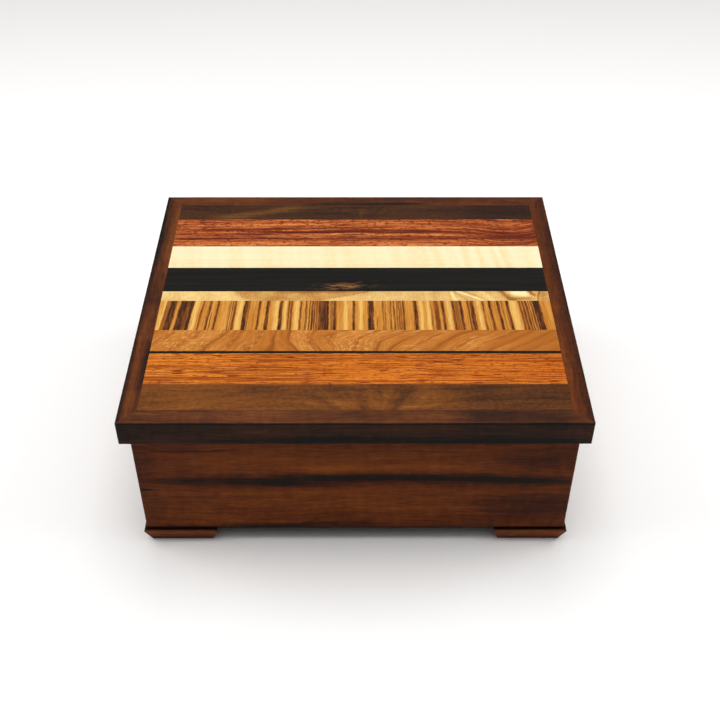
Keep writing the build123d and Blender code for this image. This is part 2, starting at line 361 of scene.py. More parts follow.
frontWalnut = {
    "seed": 4.0,
    "stops": [
        (0.22, tone(56, 32, 18)), (0.38, tone(86, 49, 22)),
        (0.54, tone(114, 65, 26)), (0.76, tone(144, 87, 34)),
    ],
    "poreTone": tone(54, 30, 12),
    "feather": {"at": (9, -71), "long": 36, "wide": 26, "from": (9, -90), "rays": 2.4, "shift": 0.78},
    "patches": [
        {"at": (-50, -71), "long": 46, "wide": 22, "shift": 0.06},
        {"at": (80, -71), "long": 46, "wide": 30, "shift": -0.17},
        {"at": (50, -65), "long": 16, "wide": 7, "shift": -0.12},
        {"at": (-40, -66), "long": 14, "wide": 6, "shift": -0.1},
        {"at": (20, -70), "long": 8, "wide": 14, "shift": -0.08},
    ],
}
backWalnut = {
    "seed": 9.0,
    "stops": [
        (0.24, tone(37, 22, 16)), (0.44, tone(55, 32, 20)),
        (0.60, tone(73, 44, 23)), (0.80, tone(102, 64, 28)),
    ],
    "poreTone": tone(30, 19, 11),
    "feather": {"at": (2, 72), "long": 20, "wide": 10, "from": (2, 58), "rays": 4.0, "shift": 0.6},
    "patches": [
        {"at": (-54, 71), "long": 28, "wide": 5, "lean": 0.14, "shift": 0.24},
        {"at": (-30, 76), "long": 20, "wide": 3.6, "lean": 0.1, "shift": 0.18},
        {"at": (80, 72), "long": 26, "wide": 13, "shift": -0.12},
    ],
}


padaukStrip = {
    "stops": [(0.28, tone(174, 84, 20)), (0.50, tone(199, 107, 28)), (0.72, tone(215, 127, 42))],
    "dashes": [  # how close along and across the grain, from what height, and how dark
        (0.006, 1.00, 0.59, 0.6),
        (0.014, 1.40, 0.59, 0.7),
        (0.040, 1.70, 0.60, 0.85),
        (0.120, 2.00, 0.60, 1.0),
        (0.400, 2.20, 0.62, 0.8),
    ],
    "dashEdge": 0.08,
    "dashTone": tone(126, 48, 15),
}


def padauk():
    wood = Shader("padaukWood")
    x, y, z = wood.place()
    wander = wood.noise(x * 0.02, y * 0.08, 2.0) - 0.5
    side = y + wander * 2.0
    base = wood.noise(x * 0.012, side * 0.2, z * 0.2, 3.0)
    drawn = wood.noise(x * 0.006, side * 1.2, 5.0, 2.0, 0.7)
    fibre = wood.noise(x * 0.06, side * 1.8, z, 2.0, 0.8)
    grit = wood.noise(x * 0.7, side * 1.9, 4.0, 1.0)
    patches = wood.noise(x * 0.015, side * 0.08, 7.0) - 0.5
    light = 0.06 + wood.fall(x, -80.0, -20.0) * 0.12 - wood.rise(x, 10.0, 90.0) * 0.12
    depth = tide((base, 0.15), (drawn, 0.85), (fibre, 0.6), (grit, 0.5)) + light
    colour = wood.ramp(depth, *padaukStrip["stops"])
    pores = 0.0
    for step, (along, across, low, dark) in enumerate(padaukStrip["dashes"]):
        dash = wood.noise(x * along, side * across, 3.0 * step, 0.0) + patches * 0.1
        dash = wood.rise(dash, low, low + padaukStrip["dashEdge"]) * dark
        pores = dash.math("MAXIMUM", dash, pores)
    colour = wood.blend(pores, colour, padaukStrip["dashTone"])
    return oiled(wood, colour, pores)


cherryStrip = {
    "stops": [
        (0.26, tone(146, 80, 27)), (0.42, tone(173, 102, 36)),
        (0.56, tone(190, 119, 48)), (0.74, tone(206, 139, 68)),
    ],
    "middle": 33.0,  # the strip's middle line lies this far in front of the lid's
    "bulge": {"at": (-22, -33), "long": 20, "wide": 60},  # where the rings stand upright
    "fleckTone": tone(222, 164, 92),
    "poreTone": tone(140, 78, 26),
}


def cherry():
    wood = Shader("cherryWood")
    x, y, z = wood.place()
    wander = wood.noise(x * 0.02, y * 0.04, 2.0, 2.0) - 0.5
    low = y + cherryStrip["middle"]
    bulge = wood.lens(x, y, cherryStrip["bulge"])
    lean = 0.5 + wood.rise(x, -4.0, 30.0) * 1.1 - bulge * 0.55
    sweep = x - low * lean - low * low * 0.025 + wander * 16.0
    growth = rings(wood, sweep * 0.1 + wood.noise(sweep * 0.05, y * 0.01, 4.0) * 1.2, 0.55)
    broad = wood.noise(sweep * 0.09, y * 0.015, 5.0, 2.0)
    fibre = wood.noise(sweep * 0.55, y * 0.12, 3.0, 2.0)
    flecks = wood.noise(sweep * 1.15, y * 0.5, 8.0, 0.0)
    even = wood.rise(x, 46.0, 80.0)  # the plainer right end
    depth = tide((broad, 0.4 - even * 0.2), (fibre, 0.5 - even * 0.3))
    depth = depth - growth * 0.16 * (1.0 - even * 0.5) - even * 0.1
    colour = wood.ramp(depth, *cherryStrip["stops"])
    shine = wood.rise(flecks, 0.54, 0.66) * wood.rise(broad, 0.38, 0.54) * (1.0 - even * 0.85)
    colour = wood.blend(shine * 0.5, colour, cherryStrip["fleckTone"])
    pores = openPores(wood, x, y, z)
    colour = wood.blend(pores * 0.25, colour, cherryStrip["poreTone"])
    return oiled(wood, colour, pores)


zebraStrip = {
    "stops": [(0.26, tone(178, 106, 36)), (0.46, tone(203, 138, 56)), (0.70, tone(224, 168, 84))],
    "bars": [  # place, half width and darkness of the bars that stand out
        (-89.7, 1.0, 0.5), (-87.3, 1.5, 0.95), (-82.4, 1.7, 0.9), (-80.0, 1.0, 0.7), (-78.3, 0.8, 1.0),
        (-73.0, 0.35, 0.7), (-69.5, 0.55, 0.8), (-65.7, 0.5, 0.8), (-59.7, 0.25, 0.65), (-58.7, 0.25, 0.65),
        (-57.4, 0.5, 0.75), (-52.3, 0.9, 1.0), (-50.8, 0.3, 0.55), (-45.9, 0.5, 0.8), (-41.8, 0.7, 0.9),
        (-35.4, 0.7, 0.95), (-31.6, 0.3, 0.75), (-30.4, 0.4, 0.8), (-25.9, 0.4, 0.75), (-23.3, 0.4, 0.75),
        (-21.6, 0.3, 0.7), (-20.4, 0.4, 0.9), (-19.3, 0.3, 0.8), (-18.2, 0.3, 0.75), (-16.2, 1.3, 0.78),
        (-13.9, 1.3, 0.97), (-11.2, 0.8, 0.45), (-9.8, 0.6, 0.95), (-0.8, 0.6, 0.85), (7.4, 1.3, 0.97),
        (13.3, 0.3, 0.65), (14.2, 0.25, 0.6), (16.8, 0.3, 0.65), (18.4, 0.35, 0.7), (19.7, 0.3, 0.65),
        (20.7, 0.3, 0.65), (21.6, 0.3, 0.6), (22.8, 0.45, 0.8), (28.6, 0.85, 0.92), (36.2, 0.25, 0.5),
        (38.7, 1.0, 0.66), (41.8, 0.6, 0.85), (46.8, 0.45, 0.95), (48.6, 1.3, 0.42), (50.4, 0.6, 0.92),
        (54.0, 0.35, 0.75), (55.8, 0.9, 0.85), (61.3, 0.35, 0.75), (64.6, 0.5, 0.9), (68.5, 0.55, 0.85),
        (70.2, 0.25, 0.55), (72.9, 0.55, 0.9), (78.9, 0.4, 0.75), (80.4, 0.5, 0.75), (81.9, 0.5, 0.8),
        (83.2, 0.3, 0.65), (84.4, 0.4, 0.75), (86.8, 1.6, 0.97),
    ],
    "pale": [  # place and half width of the palest wood between them
        (-91.6, 1.0), (-76.0, 1.6), (-55.0, 1.6), (-37.4, 1.5), (-33.2, 1.0), (-27.7, 1.5), (-4.6, 1.4),
        (2.6, 1.2), (31.2, 1.2), (34.8, 1.2), (44.6, 1.5), (59.2, 1.3), (75.8, 2.4),
    ],
    "middle": 15.0,    # the strip's middle line lies this far in front of the lid's
    "spread": 0.0008,  # how much the bars fan out
    "barTone": tone(56, 32, 20),
    "edgeTone": tone(128, 70, 26),
    "paleTone": tone(236, 190, 106),
}


def zebrawood():
    wood = Shader("zebrawoodCrossGrain")
    x, y, z = wood.place()
    wander = wood.noise(x * 0.06, y * 0.06, 3.0) - 0.5
    cross = x + x * (y + zebraStrip["middle"]) * zebraStrip["spread"] + wander * 1.1
    thread = wood.noise(cross * 0.95, y * 0.02, 6.0, 3.0, 0.7)
    hair = wood.noise(cross * 2.2, y * 0.08, 9.0, 1.0)
    ragged = cross + (wood.noise(x * 0.5, y * 0.4, 14.0, 2.0) - 0.5) * 0.8 + (hair - 0.5) * 0.7
    ground = wood.noise(cross * 0.2, y * 0.01, 11.0, 3.0)
    depth = tide((ground, 0.7), (thread, 0.5), (hair, 0.45)) - 0.04 - wood.rise(x, 0.0, 60.0) * 0.07
    colour = wood.ramp(depth, *zebraStrip["stops"])
    pale, dark = 0.0, wood.rise(thread, 0.58, 0.68) * 0.55
    for middle, half in zebraStrip["pale"]:
        shape = wood.fall(abs(cross - middle), half * 0.2, half * 1.2)
        pale = shape.math("MAXIMUM", shape, pale)
    colour = wood.blend(pale * (0.35 + hair * 0.7), colour, zebraStrip["paleTone"])
    for middle, half, strength in zebraStrip["bars"]:
        shape = wood.fall(abs(ragged - middle), half - 0.4, half + 0.5) * strength
        dark = shape.math("MAXIMUM", shape, dark)
    gaps = wood.noise(x * 0.7, y * 0.09, 17.0, 2.0)
    dark = dark * (0.66 + wood.rise(hair, 0.32, 0.52) * 0.34) * (0.78 + wood.rise(gaps, 0.36, 0.54) * 0.3)
    colour = wood.blend(wood.rise(dark, 0.0, 0.6), colour, zebraStrip["edgeTone"])
    colour = wood.blend(wood.rise(dark, 0.5, 1.0), colour, zebraStrip["barTone"])
    pores = openPores(wood, y, x, z)
    colour = wood.blend(pores * 0.35, colour, zebraStrip["edgeTone"])
    return oiled(wood, colour, pores)


canaryStrip = {
    "stops": [
        (0.20, tone(150, 98, 44)), (0.36, tone(188, 134, 68)), (0.52, tone(211, 167, 99)),
        (0.72, tone(234, 199, 128)), (0.95, tone(252, 227, 168)),
    ],
    "poreTone": tone(168, 118, 60),
    "across": [  # streaks that run across the strip: place as y and x, lean as x for each y
        {"at": (0.5, 54.5), "long": 7, "wide": 1.6, "lean": -1.6, "shift": 0.4},
        {"at": (0.5, 47.2), "long": 7, "wide": 1.3, "lean": -0.25, "shift": 0.22},
        {"at": (0.4, 50.2), "long": 7, "wide": 1.1, "lean": -1.0, "shift": -0.14},
        {"at": (1.2, 56.8), "long": 4, "wide": 1.2, "lean": -1.5, "shift": -0.18},
        {"at": (0.0, 45.4), "long": 7, "wide": 0.9, "lean": -0.1, "shift": -0.12},
        {"at": (0.0, 63.6), "long": 7, "wide": 2.4, "lean": -0.8, "shift": 0.14},
        {"at": (0.6, 72.6), "long": 7, "wide": 3.2, "lean": -0.75, "shift": -0.36},
        {"at": (2.8, 84.8), "long": 4, "wide": 2.0, "lean": -0.6, "shift": -0.36},
        {"at": (0.0, 88.4), "long": 7, "wide": 0.7, "lean": 0.2, "shift": -0.3},
        {"at": (0.0, 91.0), "long": 9, "wide": 5.0, "shift": -0.2},
        {"at": (0.0, 37.5), "long": 7, "wide": 4.0, "shift": -0.07},
    ],
    "along": [
        {"at": (79.4, 2.2), "long": 5.4, "wide": 3.6, "lean": -0.2, "shift": 0.56},
        {"at": (80.0, -2.2), "long": 8, "wide": 2.2, "shift": -0.3},
        {"at": (-18.0, 3.4), "long": 26, "wide": 2.4, "shift": -0.16},
    ],
}


def canarywood():
    wood = Shader("canarywoodFigured")
    x, y, z = wood.place()
    wander = wood.noise(x * 0.06, y * 0.12, 4.0, 2.0) - 0.5
    hair = wood.noise(x * 1.3, y * 0.35, 9.0, 2.0, 0.7)
    cloud = wood.noise(x * 0.12, y * 0.14, 6.0, 3.0)
    leftEdge = x + y * 1.2 + wander * 8.0
    rightEdge = y - (x - 9.0) * 0.27 - 3.2 + wander * 2.4
    bowl = wood.rise(leftEdge, -60.0, -50.0) * wood.rise(rightEdge, -0.6, 1.0)  # the darker heart
    rim = wood.fall(abs(leftEdge + 55.0), 0.0, 3.0) + wood.fall(abs(rightEdge - 0.4), 0.0, 0.9) * bowl
    depth = tide((hair, 0.36), (cloud, 0.4)) + 0.08 + wood.fall(leftEdge, -66.0, -54.0) * 0.09
    depth = depth - bowl * 0.18 - rim * 0.08
    depth = mark(wood, depth, y, x + wander * 3.0, canaryStrip["across"])
    depth = mark(wood, depth, x, y + wander * 2.0, canaryStrip["along"])
    colour = wood.ramp(depth, *canaryStrip["stops"])
    pores = openPores(wood, y, x, z)
    colour = wood.blend(pores * 0.25, colour, canaryStrip["poreTone"])
    return oiled(wood, colour, pores)


ebonyStrip = {
    "stops": [(0.38, tone(16, 16, 14)), (0.62, tone(26, 24, 20))],
    "patch": {"at": (-8, 7.2), "long": 13, "wide": 3.6, "lean": 0.1},  # the brown place near its front edge
    "around": {"at": (-4, 8.4), "long": 26, "wide": 5.0, "lean": 0.05},
    "patchTone": tone(148, 100, 58),
    "aroundTone": tone(88, 58, 36),
}


def ebony():
    wood = Shader("ebonyWood")
    x, y, z = wood.place()
    lines = wood.noise(x * 0.02, y * 0.8, z * 0.8, 3.0)
    colour = wood.ramp(lines, *ebonyStrip["stops"])
    wisps = wood.noise(x * 0.12, y * 0.6, 3.0, 3.0, 0.65, 1.2)
    patch = wood.lens(x, y, ebonyStrip["patch"])
    around = wood.lens(x, y, ebonyStrip["around"])
    colour = wood.blend(around * wood.rise(wisps, 0.53, 0.64) * 0.8, colour, ebonyStrip["aroundTone"])
    colour = wood.blend(patch * wood.rise(wisps, 0.42, 0.58) * 0.9, colour, ebonyStrip["patchTone"])
    pores = openPores(wood, x, y, z)
    return oiled(wood, colour, pores)


mapleStrip = {
    "stops": [(0.36, tone(236, 210, 154)), (0.50, tone(241, 224, 180)), (0.64, tone(245, 232, 197))],
    "poreTone": tone(228, 202, 148),
    "poreDepth": 0.4,  # share of the other woods' depth
}


def maple():
    wood = Shader("mapleWood")
    x, y, z = wood.place()
    curl = wood.noise((x + y * 0.12) * 0.2, y * 0.012, 5.0, 2.0)
    lines = wood.noise(x * 0.01, y * 0.5, z, 3.0)
    specks = wood.noise(x * 0.5, y * 0.5, z, 2.0)
    strong = 0.25 + wood.rise(x, 20.0, 70.0) * 0.35
    lower = wood.fall(y, 23.0, 34.0) * 0.05
    depth = tide((lines, 0.2), (specks, 0.18)) + (curl - 0.5) * strong - lower
    colour = wood.ramp(depth, *mapleStrip["stops"])
    pores = openPores(wood, x, y, z, 0.62, 0.76)
    colour = wood.blend(pores * 0.2, colour, mapleStrip["poreTone"])
    return oiled(wood, colour, pores, mapleStrip["poreDepth"])


bubingaStrip = {
    "stops": [
        (0.14, tone(82, 28, 16)), (0.32, tone(124, 52, 24)),
        (0.52, tone(181, 92, 42)), (0.74, tone(217, 133, 71)),
    ],
    "veins": [(2.0, 0.30), (5.0, 0.52), (8.0, 0.8)],  # seed, and how close across the grain
    "lines": [
        {"at": (-62, 56.0), "long": 40, "wide": 1.6, "lean": 0.03, "shift": -0.21},
        {"at": (-66, 51.6), "long": 38, "wide": 2.0, "lean": 0.02, "shift": -0.21},
        {"at": (-58, 48.0), "long": 42, "wide": 1.5, "lean": -0.01, "shift": -0.22},
        {"at": (4, 54.8), "long": 60, "wide": 2.2, "lean": 0.02, "shift": -0.22},
        {"at": (8, 51.0), "long": 66, "wide": 1.4, "lean": 0.01, "shift": 0.2},
        {"at": (14, 48.4), "long": 74, "wide": 2.0, "shift": -0.22},
        {"at": (44, 53.4), "long": 34, "wide": 1.8, "lean": -0.02, "shift": -0.2},
        {"at": (84, 50.0), "long": 18, "wide": 5.0, "lean": -0.1, "shift": -0.2},
        {"at": (84, 61.0), "long": 14, "wide": 3.0, "shift": 0.1},
        {"at": (-10, 43.4), "long": 95, "wide": 2.8, "shift": 0.16},
        {"at": (-30, 61.0), "long": 70, "wide": 2.4, "shift": 0.08},
    ],
    "heart": {"at": (0, 53), "long": 40, "wide": 60, "shift": 0.05},
    "dashTone": tone(98, 36, 16),
    "tickTone": tone(92, 32, 16),
    "poreTone": tone(84, 32, 18),
}


def bubinga():
    wood = Shader("bubingaWood")
    x, y, z = wood.place()
    wander = wood.noise(x * 0.02, y * 0.07, 3.0, 2.0) - 0.5
    ripple = wood.noise(x * 0.09, y * 0.14, 8.0, 2.0) - 0.5
    bend = wood.rise(x, 52.0, 78.0) * wood.fall(x, 82.0, 104.0)
    side = y + wander * 3.0 + ripple * 0.9 + bend * 4.0
    lines = wood.noise(x * 0.018, side * 1.1, 4.0, 3.0, 0.75)
    fibre = threads(wood, x, side, z)
    depth = mark(wood, tide((lines, 1.15), (fibre, 0.8)) + 0.055, x, y, [bubingaStrip["heart"]])
    depth = depth - wood.rise(x, 30.0, 80.0) * 0.11
    for seed, close in bubingaStrip["veins"]:
        vein = abs(wood.noise(x * 0.007, side * close, seed, 1.0) - 0.5)
        depth = depth - wood.fall(vein, 0.0, 0.035) * 0.22
    depth = mark(wood, depth, x, y + ripple * 1.6 + (lines - 0.5) * 2.0, bubingaStrip["lines"])
    colour = wood.ramp(depth, *bubingaStrip["stops"])
    dashes = wood.noise(x * 0.22, side * 0.8, 9.0, 2.0)
    upper = 0.35 + wood.rise(y, 50.0, 58.0) * 0.4
    colour = wood.blend(wood.rise(dashes, 0.57, 0.62) * upper, colour, bubingaStrip["dashTone"])
    ticks = wood.noise(x * 0.45, side * 0.8, 12.0, 1.0)
    colour = wood.blend(wood.rise(ticks, 0.55, 0.65) * 0.7, colour, bubingaStrip["tickTone"])
    pores = openPores(wood, x, side, z)
    colour = wood.blend(pores * 0.35, colour, bubingaStrip["poreTone"])
    return oiled(wood, colour, pores)


trayWood = {
    "stops": [(0.28, tone(112, 62, 28)), (0.48, tone(140, 82, 38)), (0.68, tone(164, 102, 52))],
    "poreTone": tone(84, 44, 18),
}
panelWood = {
    "stops": [(0.28, tone(84, 56, 34)), (0.48, tone(106, 73, 45)), (0.68, tone(126, 90, 58))],
    "poreTone": tone(66, 42, 24),
}


def plainWood(name, alongX, settings):  # straight and even, for hidden panels and the tray
    wood = Shader(name)
    x, y, z = wood.place()
    along, across = (x, y) if alongX else (y, x)
    wander = wood.noise(along * 0.012, across * 0.06, z * 0.06) - 0.5
    side = across + wander * 8.0
    level = z + wander * 8.0
    drift = wood.noise(along * 0.008, side * 0.06, level * 0.06)
    growth = rings(wood, (side + level) * 0.16 + drift * 2.0)
    fibre = threads(wood, along, side, level)
    colour = wood.ramp(tide((fibre, 0.8)) - growth * 0.12, *settings["stops"])
    pores = openPores(wood, along, side, level)
    colour = wood.blend(pores * 0.4, colour, settings["poreTone"])
    return oiled(wood, colour, pores)


hingeBrass = {
    "stops": [(0.36, tone(188, 142, 74)), (0.64, tone(222, 182, 110))],
    "rough": 0.24,
    "brushedRough": 0.2,    # added where the brushing is coarse
    "scratchDepth": 0.02,   # millimetres
    "scratchStrength": 0.25,
}


def brassMetal():
    metal = Shader("hingeBrass")
    x, y, z = metal.place()
    brushing = metal.noise(x * 0.5, y * 12.0, z * 12.0, 3.0)
    tarnish = metal.noise(x * 0.3, y * 0.5, z * 0.5, 3.0)
    colour = metal.ramp(tarnish, *hingeBrass["stops"])
    scratch = metal.add("ShaderNodeBump", None, {
        "Strength": hingeBrass["scratchStrength"],
        "Distance": hingeBrass["scratchDepth"] * mm,
        "Height": brushing,
    })
    return metal.finish({
        "Base Color": colour,
        "Metallic": 1.0,
        "Roughness": hingeBrass["rough"] + brushing * hingeBrass["brushedRough"],
        "Normal": scratch,
    })


liningSuede = {
    "stops": [(0.30, tone(24, 23, 24)), (0.50, tone(35, 33, 34)), (0.70, tone(52, 50, 51))],
    "rough": 0.95,
    "gloss": 0.1,
    "napDepth": 0.15,   # millimetres
    "napStrength": 0.6,
    "sheen": 0.4,
    "sheenRough": 0.5,
    "sheenTone": tone(150, 148, 150),
}


def suedeNap():
    suede = Shader("suedeNap")
    x, y, z = suede.place()
    nap = suede.noise(x * 3.0, y * 3.0, z * 3.0, 3.0, 0.7)
    stroked = suede.noise(x * 0.06, y * 0.025, z * 0.06, 3.0, 0.6)
    fleck = suede.noise(x * 0.9, y * 0.9, z * 0.9, 3.0, 0.75)
    colour = suede.ramp(tide((stroked, 0.45), (fleck, 0.7), (nap, 0.6)), *liningSuede["stops"])
    relief = suede.add("ShaderNodeBump", None, {
        "Strength": liningSuede["napStrength"], "Distance": liningSuede["napDepth"] * mm, "Height": nap})
    return suede.finish({
        "Base Color": colour,
        "Roughness": liningSuede["rough"],
        "Specular IOR Level": liningSuede["gloss"],
        "Sheen Weight": liningSuede["sheen"],
        "Sheen Roughness": liningSuede["sheenRough"],
        "Sheen Tint": liningSuede["sheenTone"],
        "Normal": relief,
    })


def dress(material, *names):
    for name in names:
        nodes[name].material_slots[0].material = material


def dressWoods():
    # the boards and feet carry painted shade where the feet meet the case, and the feet also carry painted
    # shade near the floor
    longCase = caseWood("caseWoodLong", True, boardTones, backStreaks, [caseFootShade])
    crossCase = caseWood("caseWoodCross", False, boardTones, sideStreaks, [caseFootShade])
    longFoot = caseWood("footWoodLong", True, boardTones, (), [footLedgeShade, footFloorShade], 0.08)
    crossFoot = caseWood("footWoodCross", False, boardTones, (), [footLedgeShade, footFloorShade], 0.08)
    dress(caseWood("frontBoardWood", True, boardTones, frontStreaksAndShade, [caseFootShade]), "front_board")
    dress(longCase, "back_board")
    dress(crossCase, "left_board", "right_board")
    for side, marks in railMarks.items():
        rail = caseWood(side + "RailWood", side in ("front", "back"), **marks)
        dress(rail, "lid_" + side + "_rail")
    for end in ("front", "back"):
        for side in ("left", "right"):
            dress(longFoot, end + "_" + side + "_foot_face")
            dress(crossFoot, end + "_" + side + "_foot_return")
    longTray = plainWood("trayWoodLong", True, trayWood)
    crossTray = plainWood("trayWoodCross", False, trayWood)
    dress(longTray, "tray_front", "tray_back", "tray_cross_divider", "front_ledge", "back_ledge")
    dress(crossTray, "tray_left", "tray_right", "tray_long_divider")
    panel = plainWood("panelWood", True, panelWood)
    dress(panel, "lid_core", "bottom_panel", "tray_bottom", "corner_splines", "lid_splines")
    dress(walnut("frontWalnutWood", frontWalnut), "front_walnut_strip")
    dress(walnut("backWalnutWood", backWalnut), "back_walnut_strip")
    dress(padauk(), "padauk_strip")
    dress(cherry(), "cherry_strip")
    dress(zebrawood(), "zebrawood_strip")
    dress(canarywood(), "canarywood_strip")
    dress(ebony(), "ebony_strip", "ebony_line")
    dress(maple(), "maple_strip")
    dress(bubinga(), "bubinga_strip")


def dressHinges(brass):
    for side in ("left", "right"):
        dress(brass, *[side + "_hinge_" + piece for piece in ("case_leaf", "lid_leaf", "pin")])


dressWoods()
brass = brassMetal()
dressHinges(brass)
suede = suedeNap()
print("finishes: every wood and the hinges")


# soft pads

pad = {
    "edgeRound": 0.9,   # millimetres
    "edgeSteps": 5,
    "gridStep": 2.5,
    "crown": 0.25,      # how far the middle stands above the rounded edge
    "pullIn": 0.15,     # how far a side draws in between its corners
    "ripple": 0.06,
    "rippleClose": 0.05,
    "fill": 0.3,
    "glued": [  # piece, node, body, and whether it faces up or down
        ("bottomPad", "bottom_pad", "case", 1),
        ("lidPad", "lid_pad", "lid", -1),
    ],
}


def padLine(half):  # places across a pad, closer together at its rounded edges
    steps = pad["edgeSteps"]
    edge = [pad["edgeRound"] * (1 - math.cos(math.pi / 2 * i / steps)) - half for i in range(steps)]
    inner = half - pad["edgeRound"]
    count = max(2, round(2 * inner / pad["gridStep"]))
    middle = [-inner + 2 * inner * i / count for i in range(count + 1)]
    return edge + middle + [-place for place in reversed(edge)]


def padHeight(x, y, halfX, halfY, thick):
    near = min(halfX - abs(x), halfY - abs(y), pad["edgeRound"]) / pad["edgeRound"]
    shoulder = math.sqrt(max(0.0, 1 - (1 - near) ** 2))
    crown = pad["crown"] * (1 - (x / halfX) ** 4) * (1 - (y / halfY) ** 4)
    spot = Vector((x * pad["rippleClose"], y * pad["rippleClose"], halfX))
    ripple = pad["ripple"] * wobble.noise(spot) * near
    return shoulder * (thick - pad["crown"] - pad["ripple"]) + crown + ripple


def padMesh(name, low, high, facing=1):
    size = [(high[i] - low[i]) / mm for i in range(3)]
    halfX, halfY = size[0] / 2, size[1] / 2
    middle = [(high[i] + low[i]) / 2 for i in range(3)]
    base = low[2] if facing > 0 else high[2]
    across, along = padLine(halfX), padLine(halfY)
    build = bmesh.new()
    top, under = {}, {}
    for i, x in enumerate(across):
        for j, y in enumerate(along):
            drawnX = x * (1 - pad["pullIn"] * (1 - (y / halfY) ** 2) / halfX)
            drawnY = y * (1 - pad["pullIn"] * (1 - (x / halfX) ** 2) / halfY)
            place = Vector((middle[0] + drawnX * mm, middle[1] + drawnY * mm, base))
            under[i, j] = build.verts.new(place)
            rim = i in (0, len(across) - 1) or j in (0, len(along) - 1)
            lift = Vector((0, 0, facing * padHeight(x, y, halfX, halfY, size[2]) * mm))
            top[i, j] = under[i, j] if rim else build.verts.new(place + lift)
    for grid in (top, under):
        for i in range(len(across) - 1):
            for j in range(len(along) - 1):
                build.faces.new([grid[i, j], grid[i + 1, j], grid[i + 1, j + 1], grid[i, j + 1]])
    bmesh.ops.recalc_face_normals(build, faces=build.faces)
    mesh = bpy.data.meshes.new(name)
    build.to_mesh(mesh)
    build.free()
    mesh.shade_smooth()
    return mesh


def addPiece(name, mesh, material):
    mesh.materials.clear()
    mesh.materials.append(material)
    piece = bpy.data.objects.new(name, mesh)
    scene.collection.objects.link(piece)
    return piece


def settle(piece, body, node):
    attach(piece, body)
    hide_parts(node)


def layPads():
    for name, node, body, facing in pad["glued"]:
        piece = addPiece(name, padMesh(name, *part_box(node), facing), suede)
        settle(piece, body, node)


# repeated pieces by geometry nodes

class Growth:  # one geometry tree with named inputs
    def __init__(self, name):
        self.tree = bpy.data.node_groups.new(name, "GeometryNodeTree")
        self.tree.interface.new_socket("Geometry", in_out="OUTPUT", socket_type="NodeSocketGeometry")
        self.entry = self.tree.nodes.new("NodeGroupInput")
        self.values = {}

    def ask(self, name, kind, value):  # a named input, and what the modifier sets it to
        socket = self.tree.interface.new_socket(name, in_out="INPUT", socket_type="NodeSocket" + kind)
        self.values[socket.identifier] = value
        return self.entry.outputs[name]

    def add(self, kind, settings=None, sockets=None, out=0):
        node = self.tree.nodes.new(kind)
        for key, value in (settings or {}).items():
            setattr(node, key, value)
        for key, value in (sockets or {}).items():
            if isinstance(value, bpy.types.NodeSocket):
                self.tree.links.new(value, node.inputs[key])
            else:
                node.inputs[key].default_value = value
        return node.outputs[out]

    def shapeOf(self, pattern):  # the mesh of the piece that repeats
        asMade = {"transform_space": "ORIGINAL"}
        return self.add("GeometryNodeObjectInfo", asMade, {"Object": pattern}, "Geometry")

    def grow(self, name, shape, material):  # the realized result as one plain mesh
        whole = self.add("GeometryNodeRealizeInstances", None, {0: shape})
        painted = self.add("GeometryNodeSetMaterial", None, {0: whole, "Material": material})
        leave = self.tree.nodes.new("NodeGroupOutput")
        self.tree.links.new(painted, leave.inputs[0])
        seedling = bpy.data.objects.new(name + "Seedling", bpy.data.meshes.new(name + "Seedling"))
        scene.collection.objects.link(seedling)
        modifier = seedling.modifiers.new("growth", "NODES")
        modifier.node_group = self.tree
        for identifier, value in self.values.items():
            modifier[identifier] = value
        shown = seedling.evaluated_get(bpy.context.evaluated_depsgraph_get())
        mesh = bpy.data.meshes.new_from_object(shown)
        mesh.name = name
        bpy.data.objects.remove(seedling)
        return addPiece(name, mesh, material)


slottedScrew = {
    "headRadius": 1.55,   # millimetres
    "headEdge": 0.08,
    "weld": 0.001,
    "shankRadius": 0.75,
    "neck": 0.8,
    "length": 4.9,
    "sides": 20,
    "threadPitch": 0.7,
    "threadDepth": 0.16,
    "threadRise": 0.3,    # share of the pitch
    "tipShare": 0.6,      # share of the shank
    "slotWidth": 0.42,
    "slotDepth": 0.5,
    "hingeGap": 112.0,
    "screwGap": 15.0,
    "slotSeed": 7,
}


def screwMesh():
    size = slottedScrew
    edge = size["headEdge"]
    outline = [(0.0, 0.0), (size["headRadius"] - edge, 0.0), (size["headRadius"], -edge)]
    outline.append((size["shankRadius"], -size["neck"]))
    depth = -size["neck"]
    while depth - size["threadPitch"] > -size["length"]:
        root = depth - size["threadPitch"] * size["threadRise"]
        outline.append((size["shankRadius"] - size["threadDepth"], root))
        outline.append((size["shankRadius"], depth - size["threadPitch"]))
        depth -= size["threadPitch"]
    outline += [(size["shankRadius"] * size["tipShare"], -size["length"]), (0.0, -size["length"])]
    build = bmesh.new()
    points = [build.verts.new((radius * mm, 0, z * mm)) for radius, z in outline]
    edges = [build.edges.new(pair) for pair in zip(points, points[1:])]
    bmesh.ops.spin(build, geom=points + edges, axis=(0, 0, 1), cent=(0, 0, 0),
                   steps=size["sides"], angle=2 * math.pi, use_duplicate=False)
    bmesh.ops.remove_doubles(build, verts=build.verts, dist=size["weld"] * mm)
    bmesh.ops.recalc_face_normals(build, faces=build.faces)
    mesh = bpy.data.meshes.new("screwBlank")
    build.to_mesh(mesh)
    build.free()
    return mesh


def slotCutter():
    size = slottedScrew
    build = bmesh.new()
    bmesh.ops.create_cube(build, size=1.0)
    sides = (4 * size["headRadius"], size["slotWidth"], 2 * size["slotDepth"])
    bmesh.ops.scale(build, vec=[side * mm for side in sides], verts=build.verts)
    mesh = bpy.data.meshes.new("slotCutter")
    build.to_mesh(mesh)
    build.free()
    return mesh


